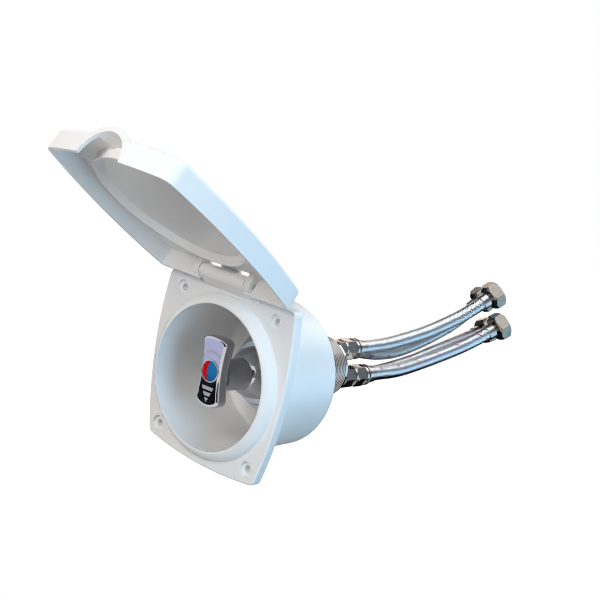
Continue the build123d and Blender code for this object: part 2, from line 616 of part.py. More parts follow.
with BuildPart() as disc_slider:
    pocket_floor_y = slider_back_y - POCKET_FLOOR
    with BuildSketch(TURN.offset(-slider_back_y)):
        with Locations((0, disc_travel / 2)):
            Circle(MOVING_DISC_R)
    extrude(amount=SLIDER_THICK)
    with BuildSketch(TURN.offset(-turret_back_y - FIT_PLAY)):
        with Locations((0, disc_travel / 2)):
            Rectangle(SLIDER_WIDTH, SLIDER_HEIGHT)
    extrude(amount=SLIDER_THICK)
    with BuildSketch(TURN.offset(-pocket_floor_y)):
        Circle(STEM_TIP_R + POCKET_PLAY)
    extrude(amount=2 * SLIDER_THICK + FIT_PLAY, mode=Mode.SUBTRACT)
finish(disc_slider, "disc_slider")

with BuildPart() as moving_disc:
    with BuildSketch(TURN.offset(-moving_disc_y - MOVING_DISC_THICK)):
        with Locations((0, disc_travel / 2)):
            Circle(MOVING_DISC_R)
    extrude(amount=MOVING_DISC_THICK)
    with BuildSketch(TURN.offset(-moving_disc_y - MOVING_DISC_THICK)):
        with Locations((0, disc_travel / 2)):
            SlotOverall(MIX_CHAMBER_LENGTH, MIX_CHAMBER_WIDTH)
    extrude(amount=MIX_CHAMBER_DEPTH, mode=Mode.SUBTRACT)
finish(moving_disc, "moving_disc")

with BuildPart() as fixed_disc:
    with BuildSketch(FRONT.offset(-base_front_y)):
        Circle(FIXED_DISC_R)
        with port_places():
            Circle(PORT_R, mode=Mode.SUBTRACT)
    extrude(amount=FIXED_DISC_THICK)
finish(fixed_disc, "fixed_disc")

with BuildPart() as cartridge_base:
    seal_outer_r = PORT_R + SEAL_SECTION
    with BuildSketch(FRONT.offset(-CARTRIDGE_SEAT_Y)):
        Circle(CARTRIDGE_R)
        with port_places():
            Circle(PORT_R, mode=Mode.SUBTRACT)
    extrude(amount=CARTRIDGE_SEAT_Y - base_front_y)
    with BuildSketch(FRONT.offset(-CARTRIDGE_SEAT_Y)):
        with port_places():
            Circle(seal_outer_r)
    extrude(amount=SEAL_SECTION, mode=Mode.SUBTRACT)
finish(cartridge_base, "cartridge_base")

with BuildPart() as base_seals:
    with BuildSketch(FRONT.offset(-CARTRIDGE_SEAT_Y)):
        with port_places():
            Circle(seal_outer_r)
            Circle(PORT_R, mode=Mode.SUBTRACT)
    extrude(amount=SEAL_SECTION)
finish(base_seals, "base_seals")

# Lever: stem with its hub and tail, dust shield, neck, bar, screw and colour cap
with BuildPart() as stem:
    with BuildSketch(TURN.offset(-PIVOT_Y)):
        Rectangle(STEM_WIDTH, STEM_WIDTH)
    extrude(amount=PIVOT_Y - STEM_FRONT_Y)
    with BuildSketch(TILT.offset(-STEM_WIDTH / 2)):
        Circle(STEM_HUB_R)
    extrude(amount=STEM_WIDTH)
    with BuildSketch(TURN.offset(-PIVOT_Y)):
        Circle(STEM_TAIL_R)
    extrude(amount=-STEM_TAIL_LENGTH)
    with Locations(TURN.offset(-PIVOT_Y - STEM_TAIL_LENGTH)):
        Sphere(STEM_TIP_R)
    with BuildSketch(TILT.offset(-STEM_WIDTH / 2)):
        Circle(TILT_PIN_R + RUNNING_PLAY)
    extrude(amount=STEM_WIDTH, mode=Mode.SUBTRACT)
    screw_tip_y = NECK_FRONT_Y - LEVER_THICK + CAP_SEAT_DEPTH + SCREW_LENGTH
    with BuildSketch(TURN.offset(-STEM_FRONT_Y)):
        Circle(SCREW_R)
    extrude(amount=STEM_FRONT_Y - screw_tip_y, mode=Mode.SUBTRACT)
finish(stem, "stem")

with BuildPart() as stem_shield:
    shield_out_r = BALL_R - BALL_WALL - SHIELD_GAP
    shield_in_r = shield_out_r - SHIELD_THICK
    shield_angle = asin(BALL_OPENING_R / (BALL_R - BALL_WALL)) + radians(TILT_RANGE + SHIELD_MARGIN)
    with BuildSketch(PROFILE):
        with BuildLine():
            ThreePointArc(ball_point(shield_out_r, 0), ball_point(shield_out_r, shield_angle / 2),
                          ball_point(shield_out_r, shield_angle))
            Line(ball_point(shield_out_r, shield_angle), ball_point(shield_in_r, shield_angle))
            ThreePointArc(ball_point(shield_in_r, shield_angle), ball_point(shield_in_r, shield_angle / 2),
                          ball_point(shield_in_r, 0))
            Line(ball_point(shield_in_r, 0), ball_point(shield_out_r, 0))
        make_face()
    revolve(axis=SPINDLE)
    with BuildSketch(TURN.offset(-PIVOT_Y)):
        Rectangle(STEM_WIDTH, STEM_WIDTH)
    extrude(amount=PIVOT_Y, mode=Mode.SUBTRACT)
finish(stem_shield, "stem_shield")

with BuildPart() as lever_neck:
    neck_ball_r = BALL_R + NECK_GAP
    rim_angle = asin(NECK_R / neck_ball_r)
    with BuildSketch(PROFILE):
        with BuildLine():
            Polyline(ball_point(neck_ball_r, 0), (NECK_FRONT_Y, 0), (NECK_FRONT_Y, NECK_FRONT_R),
                     ball_point(neck_ball_r, rim_angle))
            ThreePointArc(ball_point(neck_ball_r, rim_angle), ball_point(neck_ball_r, rim_angle / 2),
                          ball_point(neck_ball_r, 0))
        make_face()
    revolve(axis=SPINDLE)
    with BuildSketch(TURN.offset(-PIVOT_Y)):
        Rectangle(STEM_WIDTH, STEM_WIDTH)
    extrude(amount=PIVOT_Y - STEM_FRONT_Y, mode=Mode.SUBTRACT)
    with BuildSketch(TURN.offset(-PIVOT_Y)):
        Circle(SCREW_R + FIT_PLAY)
    extrude(amount=PIVOT_Y - NECK_FRONT_Y, mode=Mode.SUBTRACT)
finish(lever_neck, "lever_neck")

lever_front_y = NECK_FRONT_Y - LEVER_THICK
cap_floor_y = lever_front_y + CAP_SEAT_DEPTH

with BuildPart() as lever:
    shoulder_z = LEVER_TOP - LEVER_SHOULDER
    heel_z = LEVER_BOTTOM + LEVER_HEEL
    with BuildSketch(TURN.offset(-NECK_FRONT_Y)) as lever_outline:
        with BuildLine():
            ThreePointArc((LEVER_TOP_HALF, shoulder_z), (0, LEVER_TOP), (-LEVER_TOP_HALF, shoulder_z))
            ThreePointArc((-LEVER_TOP_HALF, shoulder_z), (-LEVER_WAIST_HALF, LEVER_WAIST_Z),
                          (-LEVER_BOTTOM_HALF, heel_z))
            ThreePointArc((-LEVER_BOTTOM_HALF, heel_z), (0, LEVER_BOTTOM), (LEVER_BOTTOM_HALF, heel_z))
            ThreePointArc((LEVER_BOTTOM_HALF, heel_z), (LEVER_WAIST_HALF, LEVER_WAIST_Z),
                          (LEVER_TOP_HALF, shoulder_z))
        make_face()
        fillet(lever_outline.vertices(), LEVER_CORNER_R)
    extrude(amount=LEVER_THICK)
    fillet(lever.faces().sort_by(Axis.Y)[-1].edges(), LEVER_BACK_R)
    fillet(lever.faces().sort_by(Axis.Y)[0].edges(), LEVER_FRONT_R)
    with BuildSketch(TURN.offset(-lever_front_y)):
        with Locations((0, CAP_RISE)):
            Circle(CAP_R + RUNNING_PLAY)
    extrude(amount=-CAP_SEAT_DEPTH, mode=Mode.SUBTRACT)
    with BuildSketch(TURN.offset(-cap_floor_y)):
        Circle(SCREW_CAP_R + FIT_PLAY)
    extrude(amount=-SCREW_CAP_HEIGHT, mode=Mode.SUBTRACT)
    with BuildSketch(TURN.offset(-cap_floor_y)):
        Circle(SCREW_R + FIT_PLAY)
    extrude(amount=-LEVER_THICK, mode=Mode.SUBTRACT)
finish(lever, "lever")

with BuildPart() as lever_screw:
    with BuildSketch(TURN.offset(-cap_floor_y)):
        Circle(SCREW_CAP_R)
    extrude(amount=-SCREW_CAP_HEIGHT)
    with BuildSketch(TURN.offset(-cap_floor_y)):
        Circle(SCREW_R)
    extrude(amount=-SCREW_LENGTH)
    with BuildSketch(TURN.offset(-cap_floor_y)):
        RegularPolygon(SCREW_HEX / 2, 6, major_radius=False)
    extrude(amount=-SCREW_HEX_DEPTH, mode=Mode.SUBTRACT)
finish(lever_screw, "lever_screw")

with BuildPart() as cap_ring:
    ring_front_y = lever_front_y - CAP_RING_PROUD
    with BuildSketch(TURN.offset(-cap_floor_y)):
        with Locations((0, CAP_RISE)):
            Circle(CAP_R)
            Circle(CAP_R - CAP_RING_WALL, mode=Mode.SUBTRACT)
    extrude(amount=cap_floor_y - ring_front_y)
    fillet(cap_ring.faces().sort_by(Axis.Y)[0].edges(), CAP_RING_EDGE_R)
finish(cap_ring, "cap_ring")


def colour_half(side):
    """Half of the domed colour cap, on the given side of its upright split."""
    cap_r = CAP_R - CAP_RING_WALL
    cap_centre = TURN.from_local_coords((0, CAP_RISE, 0))
    cap_plane = Plane(origin=cap_centre, x_dir=(0, -1, 0), z_dir=TURN.x_dir)
    dome_r = (cap_r ** 2 + CAP_DOME ** 2) / (2 * CAP_DOME)
    with BuildPart() as half:
        with BuildSketch(cap_plane):
            with BuildLine():
                Polyline((-ring_front_y + CAP_DOME, 0), (-cap_floor_y, 0), (-cap_floor_y, cap_r),
                         (-ring_front_y, cap_r))
                RadiusArc((-ring_front_y, cap_r), (-ring_front_y + CAP_DOME, 0), dome_r)
            make_face()
        revolve(axis=Axis(cap_centre, (0, 1, 0)))
        split(bisect_by=cap_plane, keep=side)
    return half


cap_blue = colour_half(Keep.TOP)
finish(cap_blue, "cap_blue")
cap_red = colour_half(Keep.BOTTOM)
finish(cap_red, "cap_red")


def hose_line(name, quarter, collar, lead, route):
    """One hose with its fittings: nipple, near nut, ferrules, tail, swivel nut and washer."""
    way = radians(FITTING_TURN + 90 * quarter)
    centre_x = FITTING_PITCH_R * cos(way)
    centre_z = AXIS_Z + FITTING_PITCH_R * sin(way)
    near = Plane(origin=(centre_x, SHANK_END_Y, centre_z), x_dir=(1, 0, 0), z_dir=(0, 1, 0))
    ring_start = collar - NIPPLE_NECK_LENGTH - NIPPLE_RING_LENGTH

    with BuildPart() as nipple:
        with BuildSketch(near.offset(-NIPPLE_DEPTH)):
            Circle(NIPPLE_R)
        extrude(amount=NIPPLE_DEPTH)
        with BuildSketch(near):
            Circle(NIPPLE_BOSS_R)
        extrude(amount=NIPPLE_BOSS_LENGTH)
        with BuildSketch(near.offset(NIPPLE_BOSS_LENGTH)):
            RegularPolygon(NIPPLE_HEX_R, 6)
        extrude(amount=ring_start - NIPPLE_BOSS_LENGTH)
        with BuildSketch(near.offset(ring_start)):
            Circle(NIPPLE_RING_R)
        extrude(amount=NIPPLE_RING_LENGTH)
        with BuildSketch(near.offset(collar - NIPPLE_NECK_LENGTH)):
            Circle(NIPPLE_NECK_R)
        extrude(amount=NIPPLE_NECK_LENGTH)
        with BuildSketch(near.offset(-NIPPLE_DEPTH)):
            Circle(NIPPLE_BORE_R)
        extrude(amount=NIPPLE_DEPTH + collar, mode=Mode.SUBTRACT)
    finish(nipple, f"nipple_{name}")

    hex_end = collar + NEAR_NUT_LENGTH - NEAR_NUT_SHOULDER
    with BuildPart() as near_nut:
        with BuildSketch(near.offset(collar)):
            Circle(NEAR_NUT_HEX_R)
        extrude(amount=hex_end - collar)
        chamfer(near_nut.edges(), NEAR_NUT_CHAMFER)
        with BuildSketch(near.offset(collar)):
            RegularPolygon(NEAR_NUT_HEX_R, 6)
        extrude(amount=hex_end - collar, mode=Mode.INTERSECT)
        with BuildSketch(near.offset(hex_end)):
            Circle(NEAR_NUT_SHOULDER_R)
        extrude(amount=NEAR_NUT_SHOULDER)
        fillet(near_nut.faces().sort_by(Axis.Y)[-1].edges(), NEAR_NUT_EDGE_R)
        with BuildSketch(near.offset(hex_end + NEAR_NUT_GROOVE_LAND)):
            Circle(NEAR_NUT_SHOULDER_R)
            Circle(NEAR_NUT_SHOULDER_R - NEAR_NUT_GROOVE_DEPTH, mode=Mode.SUBTRACT)
        extrude(amount=NEAR_NUT_SHOULDER - 2 * NEAR_NUT_GROOVE_LAND, mode=Mode.SUBTRACT)
        with BuildSketch(near.offset(collar)):
            Circle(NIPPLE_BORE_R)
        extrude(amount=NEAR_NUT_LENGTH, mode=Mode.SUBTRACT)
    finish(near_nut, f"near_nut_{name}")

    nut_end = collar + NEAR_NUT_LENGTH
    with BuildPart() as near_ferrule:
        with BuildSketch(near.offset(nut_end)):
            Circle(FERRULE_R)
        extrude(amount=FERRULE_LENGTH)
        fillet(near_ferrule.edges(), FERRULE_EDGE_R)
        with BuildSketch(near.offset(nut_end + FERRULE_END_WALL)):
            Circle(HOSE_R)
        extrude(amount=FERRULE_LENGTH, mode=Mode.SUBTRACT)
        with BuildSketch(near.offset(nut_end)):
            Circle(NIPPLE_BORE_R)
        extrude(amount=FERRULE_END_WALL, mode=Mode.SUBTRACT)
    finish(near_ferrule, f"near_ferrule_{name}")

    start = near.from_local_coords(Vector(0, 0, nut_end + FERRULE_END_WALL))
    points = [start, start + Vector(0, lead, 0)] + [Vector(*point) for point in route]
    runs = [after - before for before, after in zip(points, points[1:])]
    radii = []
    for run, next_run in zip(runs, runs[1:]):
        turn = radians(run.get_angle(next_run))
        radii.append(ARC_SHARE * min(run.length, next_run.length) / tan(turn / 2))
    with BuildPart() as hose:
        with BuildLine() as path:
            FilletPolyline(*points, radius=radii)
        with BuildSketch(near.offset(nut_end + FERRULE_END_WALL)):
            Circle(HOSE_R)
        sweep()
    finish(hose, f"hose_{name}")
    swept = pi * HOSE_R ** 2 * path.wire().length
    print(name, "radii", [round(radius) for radius in radii], "length", round(path.wire().length, 1),
          "volume over section times length", round(hose.part.volume / swept, 4))

    far = Plane(origin=points[-1], z_dir=runs[-1].normalized())
    with BuildPart() as far_ferrule:
        with BuildSketch(far.offset(-FAR_FERRULE_GRIP)):
            Circle(FERRULE_R)
        extrude(amount=FAR_FERRULE_GRIP + FERRULE_END_WALL)
        fillet(far_ferrule.edges(), FERRULE_EDGE_R)
        with BuildSketch(far):
            Circle(HOSE_R)
        extrude(amount=-FAR_FERRULE_GRIP, mode=Mode.SUBTRACT)
        with BuildSketch(far):
            Circle(TAIL_BORE_R)
        extrude(amount=FERRULE_END_WALL, mode=Mode.SUBTRACT)
    finish(far_ferrule, f"far_ferrule_{name}")

    nut_start = FERRULE_END_WALL + TAIL_GAP
    seat = nut_start + SWIVEL_END_WALL + SWIVEL_PLAY
    thread_start = seat + TAIL_FLANGE_THICK + WASHER_THICK + SWIVEL_RELIEF_PAST_WASHER
    with BuildPart() as tail:
        with BuildSketch(far.offset(FERRULE_END_WALL)):
            Circle(TAIL_R)
        extrude(amount=seat - FERRULE_END_WALL)
        with BuildSketch(far.offset(seat)):
            Circle(TAIL_FLANGE_R)
        extrude(amount=TAIL_FLANGE_THICK)
        with BuildSketch(far.offset(FERRULE_END_WALL)):
            Circle(TAIL_BORE_R)
        extrude(amount=seat + TAIL_FLANGE_THICK - FERRULE_END_WALL, mode=Mode.SUBTRACT)
    finish(tail, f"tail_{name}")

    with BuildPart() as swivel_nut:
        hex_r = SWIVEL_HEX / 2 / cos(pi / 6)
        with BuildSketch(far.offset(nut_start)):
            Circle(hex_r)
        extrude(amount=SWIVEL_LENGTH)
        chamfer(swivel_nut.edges().filter_by(GeomType.CIRCLE), SWIVEL_CHAMFER)
        with BuildSketch(far.offset(nut_start)):
            RegularPolygon(hex_r, 6)
        extrude(amount=SWIVEL_LENGTH, mode=Mode.INTERSECT)
        with BuildSketch(far.offset(nut_start)):
            Circle(TAIL_R + SWIVEL_PLAY)
        extrude(amount=SWIVEL_END_WALL, mode=Mode.SUBTRACT)
        with BuildSketch(far.offset(nut_start + SWIVEL_END_WALL)):
            Circle(SWIVEL_RELIEF_R)
        extrude(amount=thread_start - nut_start - SWIVEL_END_WALL, mode=Mode.SUBTRACT)
        with BuildSketch(far.offset(thread_start)):
            Circle(SWIVEL_THREAD_R)
        extrude(amount=SWIVEL_LENGTH, mode=Mode.SUBTRACT)
    finish(swivel_nut, f"swivel_nut_{name}")

    with BuildPart() as washer:
        with BuildSketch(far.offset(seat + TAIL_FLANGE_THICK)):
            Circle(WASHER_R)
            Circle(TAIL_R, mode=Mode.SUBTRACT)
        extrude(amount=WASHER_THICK)
    finish(washer, f"washer_{name}")


hose_line("upper_front", 0, NIPPLE_SHORT, FRONT_LEAD, UPPER_FRONT_ROUTE)
hose_line("upper_back", 1, NIPPLE_LONG, BACK_LEAD, UPPER_BACK_ROUTE)
hose_line("lower_back", 2, NIPPLE_SHORT, BACK_LEAD, LOWER_BACK_ROUTE)
hose_line("lower_front", 3, NIPPLE_LONG, FRONT_LEAD, LOWER_FRONT_ROUTE)
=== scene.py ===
import math

import bpy
from mathutils import Matrix, Vector


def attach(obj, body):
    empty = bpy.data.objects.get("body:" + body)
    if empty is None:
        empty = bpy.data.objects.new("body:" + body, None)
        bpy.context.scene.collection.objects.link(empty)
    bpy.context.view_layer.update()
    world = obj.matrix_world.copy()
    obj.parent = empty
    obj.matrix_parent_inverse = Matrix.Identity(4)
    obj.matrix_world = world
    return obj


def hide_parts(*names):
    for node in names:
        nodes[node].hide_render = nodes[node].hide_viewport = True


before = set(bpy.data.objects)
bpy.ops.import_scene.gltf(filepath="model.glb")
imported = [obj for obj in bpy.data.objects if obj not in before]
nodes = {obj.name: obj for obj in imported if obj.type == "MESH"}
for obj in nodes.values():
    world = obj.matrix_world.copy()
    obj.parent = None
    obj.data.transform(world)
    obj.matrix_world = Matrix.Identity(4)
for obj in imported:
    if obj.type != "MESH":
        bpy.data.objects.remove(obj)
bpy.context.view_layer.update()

scene = bpy.context.scene
scene.view_settings.view_transform = "Standard"
scene.cycles.filter_width = 1.0
bpy.ops.object.select_all(action="DESELECT")


# Camera: a short tele lens at the photograph's viewing angle, held a little askew.
# Its place comes from the fitted photograph: to the right of the flange, a little above it.
azimuth = math.radians(38.396)
elevation = math.radians(9.87)
roll = math.radians(11.769)
camera_distance = 0.590
camera_target = Vector((0.05675, 0.0, 0.0707))
back = Vector((math.sin(azimuth) * math.cos(elevation), -math.cos(azimuth) * math.cos(elevation),
               math.sin(elevation)))
level_right = (-back).cross(Vector((0, 0, 1))).normalized()
level_up = level_right.cross(-back)
right = level_right * math.cos(roll) + level_up * math.sin(roll)
up = level_up * math.cos(roll) - level_right * math.sin(roll)
bpy.ops.object.camera_add()
camera = bpy.context.object
camera.matrix_world = Matrix.Translation(camera_target + back * camera_distance) @ Matrix(
    (right, up, back)).transposed().to_4x4()
camera.data.sensor_width = 36
camera.data.lens = 53.668
camera.data.clip_start = 0.01
scene.camera = camera


def calc(tree, operation, *values):
    """One Math node in the tree, fed with numbers or sockets, and its output."""
    node = tree.nodes.new("ShaderNodeMath")
    node.operation = operation
    for socket, value in zip(node.inputs, values):
        if isinstance(value, (int, float)):
            socket.default_value = value
        else:
            tree.links.new(value, socket)
    return node.outputs[0]


def node_group(name, inputs, outputs):
    """An empty shader node group with named float or vector sockets."""
    group = bpy.data.node_groups.new(name, "ShaderNodeTree")
    for direction, sockets in (("INPUT", inputs), ("OUTPUT", outputs)):
        for label, kind in sockets:
            group.interface.new_socket(label, in_out=direction, socket_type=f"NodeSocket{kind}")
    return group, group.nodes.new("NodeGroupInput"), group.nodes.new("NodeGroupOutput")


# Braid: stainless wires laid in flat bundles, which wind both ways round the hose two over and two under.
# One bundle of a hose may carry a coloured tracer wire, red for hot and blue for cold.
braid_bundles = 16
braid_lead = 0.0244
braid_depth = 0.00015
bundle_wires = 7

# The weave repeats every four bundles, and the right-hand lay's floats lie three from the left-hand lay's.
# A float arches over the bundles that it crosses: it stands at its base height and rises most in its middle.
weave_repeat = 4
half_repeat = 2
lay_shift = 3
float_arch = 1.35
arch_base = 0.4
arch_rise = 0.6
relief_crown_power = 2

# Shading of the weave: single wires within a bundle, a painted highlight on each bundle's crest that fades to
# painted shade at its edges and where it dips under, and a tracer that shows on every other float of its
# bundle.
shading_crown_power = 3
wire_share = 0.08
# The painted highlight's level at a float's ends, and what it gains in the float's middle.
painted_light_base = 0.5
painted_light_rise = 0.5
tracer_bundle_middle = 2.5
tracer_bundle_half = 0.5
tracer_repeat = 8
tracer_float_middle = 2.5
tracer_float_half = 1.5
right_tone_shift = 40

braid_weave, given, made = node_group(
    "braid_weave",
    (("Place", "Vector"), ("Bundles", "Float"), ("Wires", "Float")),
    (("Height", "Float"), ("Painted Light", "Float"), ("Tracer", "Float"), ("Tone", "Float")))


def weave_calc(operation, *values):
    """One Math node in the weave, and its output."""
    return calc(braid_weave, operation, *values)


def of_top_lay(left_value, right_value):
    """The left-hand lay's value where that lay is on top, and the right-hand lay's elsewhere."""
    return weave_calc("ADD", weave_calc("MULTIPLY", left_value, left_on_top),
                      weave_calc("MULTIPLY", right_value, right_on_top))


around = braid_weave.nodes.new("ShaderNodeSeparateXYZ")
braid_weave.links.new(given.outputs["Place"], around.inputs[0])
turns_round, leads_along = around.outputs[0], around.outputs[1]
bundles = given.outputs["Bundles"]
left_lay = weave_calc("MULTIPLY", bundles, weave_calc("ADD", turns_round, leads_along))
right_lay = weave_calc("MULTIPLY", bundles, weave_calc("SUBTRACT", turns_round, leads_along))
left_number = weave_calc("FLOOR", left_lay)
right_number = weave_calc("FLOOR", right_lay)
crossing = weave_calc("WRAP", weave_calc("SUBTRACT", left_number, right_number), weave_repeat, 0)
left_on_top = weave_calc("LESS_THAN", crossing, half_repeat - 0.5)
right_on_top = weave_calc("SUBTRACT", 1, left_on_top)
across_left = weave_calc("SUBTRACT", left_lay, left_number)
across_right = weave_calc("SUBTRACT", right_lay, right_number)
across = of_top_lay(across_left, across_right)
float_left = weave_calc("WRAP", weave_calc("SUBTRACT", left_number, right_lay), half_repeat, -half_repeat)
right_run = weave_calc("SUBTRACT", weave_calc("SUBTRACT", left_lay, right_number), lay_shift)
float_right = weave_calc("WRAP", right_run, half_repeat, -half_repeat)
along = of_top_lay(float_left, float_right)
arch = weave_calc("COSINE", weave_calc("MULTIPLY", along, float_arch))
from_middle = weave_calc("ABSOLUTE", weave_calc("SUBTRACT", across, 0.5))
to_edge = weave_calc("MULTIPLY", from_middle, 2)
crown = weave_calc("SUBTRACT", 1, weave_calc("POWER", to_edge, shading_crown_power))
wire_turns = weave_calc("MULTIPLY", across, given.outputs["Wires"])
wires = weave_calc("ABSOLUTE", weave_calc("SINE", weave_calc("MULTIPLY", wire_turns, math.pi)))
body_height = weave_calc("MULTIPLY", crown, weave_calc("MULTIPLY_ADD", arch, arch_rise, arch_base))
braid_weave.links.new(weave_calc("MULTIPLY_ADD", wires, wire_share, body_height), made.inputs["Height"])
# Painted light: a painted highlight on each crest and float middle, fading to painted shade at the bundles'
# edges and where they dip under.
painted_light = weave_calc("MULTIPLY", crown, weave_calc("MULTIPLY_ADD", arch, painted_light_rise, painted_light_base))
braid_weave.links.new(painted_light, made.inputs["Painted Light"])
tracer_bundle = weave_calc("COMPARE", weave_calc("WRAP", right_lay, bundles, 0), tracer_bundle_middle,
                           tracer_bundle_half)
tracer_run = weave_calc("WRAP", weave_calc("SUBTRACT", left_lay, right_lay), tracer_repeat, 0)
tracer_float = weave_calc("COMPARE", tracer_run, tracer_float_middle, tracer_float_half)
braid_weave.links.new(weave_calc("MULTIPLY", tracer_bundle, tracer_float), made.inputs["Tracer"])
bundle_tone = braid_weave.nodes.new("ShaderNodeTexWhiteNoise")
bundle_tone.noise_dimensions = "1D"
right_tone_number = weave_calc("ADD", right_number, right_tone_shift)
braid_weave.links.new(of_top_lay(left_number, right_tone_number), bundle_tone.inputs["W"])
braid_weave.links.new(bundle_tone.outputs["Value"], made.inputs["Tone"])


def plain_material(name, colour, roughness, metallic=0.0):
    """A material with one Principled shader at the given colour, and its tree and shader."""
    material = bpy.data.materials.new(name)
    material.use_nodes = True
    shader = material.node_tree.nodes["Principled BSDF"]
    shader.inputs["Base Color"].default_value = (*colour, 1)
    shader.inputs["Roughness"].default_value = roughness
    shader.inputs["Metallic"].default_value = metallic
    return material, material.node_tree, shader


def colour_mix(tree, factor, first, second):
    """A colour that goes from first to second with the factor."""
    mix = tree.nodes.new("ShaderNodeMix")
    mix.data_type = "RGBA"
    tree.links.new(factor, mix.inputs["Factor"])
    for socket, value in ((mix.inputs["A"], first), (mix.inputs["B"], second)):
        if isinstance(value, tuple):
            socket.default_value = (*value, 1)
        else:
            tree.links.new(value, socket)
    return mix.outputs["Result"]


def bump_from(tree, shader, height, distance):
    """Feeds the shader's normal with a bump of that real depth in metres."""
    bump = tree.nodes.new("ShaderNodeBump")
    bump.inputs["Distance"].default_value = distance
    tree.links.new(height, bump.inputs["Height"])
    tree.links.new(bump.outputs["Normal"], shader.inputs["Normal"])


# Braid's finish: wire colour with a painted highlight on the crests, over painted shade in the gaps between
# bundles. A tracer wire is coated, so it looks dull and coloured.
wire_dull = (0.74, 0.76, 0.79)
wire_bright = (0.90, 0.91, 0.93)
# The dark colour is painted shade in the gaps between bundles.
painted_gap_shade = (0.02, 0.025, 0.03)
blue_tracer = (0.004, 0.05, 0.36)
red_tracer = (0.40, 0.006, 0.006)
gap_roughness = 0.22
crest_polish = 0.08
tracer_roughness = 0.4
plain_specular = 0.5
tracer_specular_loss = 0.42
wire_bump = 0.00008


def braid_material(name, tracer_colour):
    """Stainless braid with painted highlights on its crests and painted shade in its gaps, and a tracer wire
    where a colour is given.
    """
    material, tree, shader = plain_material(name, wire_dull, gap_roughness, 1.0)
    weave = tree.nodes.new("ShaderNodeGroup")
    weave.node_tree = braid_weave
    weave.inputs["Bundles"].default_value = braid_bundles
    weave.inputs["Wires"].default_value = bundle_wires
    place = tree.nodes.new("ShaderNodeUVMap")
    place.uv_map = "braid"
    tree.links.new(place.outputs["UV"], weave.inputs["Place"])
    bright = colour_mix(tree, weave.outputs["Tone"], wire_dull, wire_bright)
    # The wire colour darkens to painted shade in the gaps and keeps a painted highlight on the crests.
    colour = colour_mix(tree, weave.outputs["Painted Light"], painted_gap_shade, bright)
    roughness = calc(tree, "MULTIPLY_ADD", weave.outputs["Painted Light"], -crest_polish, gap_roughness)
    if tracer_colour:
        tracer = weave.outputs["Tracer"]
        colour = colour_mix(tree, tracer, colour, tracer_colour)
        roughness = calc(tree, "MULTIPLY_ADD", tracer, tracer_roughness, roughness)
        tree.links.new(calc(tree, "MULTIPLY_ADD", tracer, -1, 1), shader.inputs["Metallic"])
        tree.links.new(calc(tree, "MULTIPLY_ADD", tracer, -tracer_specular_loss, plain_specular),
                       shader.inputs["Specular IOR Level"])
    tree.links.new(colour, shader.inputs["Base Color"])
    tree.links.new(roughness, shader.inputs["Roughness"])
    bump_from(tree, shader, weave.outputs["Height"], wire_bump)
    return material


# Supply hoses: four rubber hoses under the braid, 12.3 mm thick. Each leaves the mixer's shank in its near
# ferrule, bends freely up and to the right, and ends in its far ferrule with a nozzle and a swivel nut.
# The braid's woven relief is real: the bundles rise where they pass over and sink where they pass under.
hose_r = 0.00615
hose_sides = 96
hose_line_steps = 112
hose_routes = {
    "upper_front": ((0.00537, 0.1512, 0.01385), (0.00537, 0.1712, 0.01385), (0.0075, 0.1945, 0.016),
                    (0.011, 0.217, 0.021), (0.017, 0.2385, 0.028), (0.024, 0.2585, 0.038),
                    (0.0325, 0.277, 0.050), (0.0404, 0.2922, 0.0646)),
    "upper_back": ((-0.01475, 0.159, 0.00447), (-0.01475, 0.1815, 0.00447), (-0.012, 0.2065, 0.001),
                   (-0.0075, 0.232, 0.0025), (-0.002, 0.2555, 0.0105), (0.005, 0.2775, 0.022),
                   (0.013, 0.2975, 0.036), (0.0206, 0.3126, 0.0543)),
    "lower_back": ((-0.00537, 0.1512, -0.01565), (-0.00537, 0.1737, -0.01565), (-0.004, 0.201, -0.014),
                   (-0.0005, 0.227, -0.0095), (0.004, 0.253, -0.003), (0.0095, 0.2775, 0.007),
                   (0.017, 0.301, 0.017), (0.0259, 0.3216, 0.0276)),
    "lower_front": ((0.01475, 0.159, -0.00627), (0.01475, 0.179, -0.00627), (0.017, 0.2015, -0.0055),
                    (0.020, 0.2235, -0.001), (0.0255, 0.2445, 0.006), (0.0325, 0.2645, 0.0145),
                    (0.041, 0.283, 0.025), (0.0496, 0.2992, 0.0378))}

# Where each hose's weave begins: turns round the hose and leads along it. It sets where the tracer shows.
tracer_places = {"upper_front": (0.0, 0.0), "upper_back": (0.915, 0.242), "lower_back": (0.470, 0.189),
                 "lower_front": (0.156, 0.066)}
braid_plain = braid_material("braid_plain", None)
braid_blue = braid_material("braid_blue_tracer", blue_tracer)
braid_red = braid_material("braid_red_tracer", red_tracer)
braids = {"upper_front": braid_plain, "upper_back": braid_blue, "lower_back": braid_red,
          "lower_front": braid_red}


def hose_line(route):
    """Points along the smooth line of a hose, read from its spline."""
    curve = bpy.data.curves.new("hose_line", "CURVE")
    curve.dimensions = "3D"
    curve.resolution_u = hose_line_steps
    spline = curve.splines.new("NURBS")
    spline.points.add(len(route) - 1)
    for place, point in zip(spline.points, route):
        place.co = (*point, 1)
    spline.order_u = 3
    spline.use_endpoint_u = True
    holder = bpy.data.objects.new("hose_line", curve)
    line = bpy.data.meshes.new_from_object(holder)
    points = [vertex.co.copy() for vertex in line.vertices]
    bpy.data.objects.remove(holder)
    bpy.data.meshes.remove(line)
    return points


def braid_relief(turn, leads):
    """How far the braid lies under its outer skin at that turn round the hose and that many leads along."""
    left, right = braid_bundles * (turn + leads), braid_bundles * (turn - leads)
    left_bundle, right_bundle = math.floor(left), math.floor(right)
    if (left_bundle - right_bundle) % weave_repeat < half_repeat:
        over, run = left - left_bundle, left_bundle - right
    else:
        over, run = right - right_bundle, left - right_bundle - lay_shift
    run = (run + half_repeat) % weave_repeat - half_repeat
    crown = 1 - abs(2 * over - 1) ** relief_crown_power
    return braid_depth * (1 - crown * (arch_base + arch_rise * math.cos(float_arch * run)))


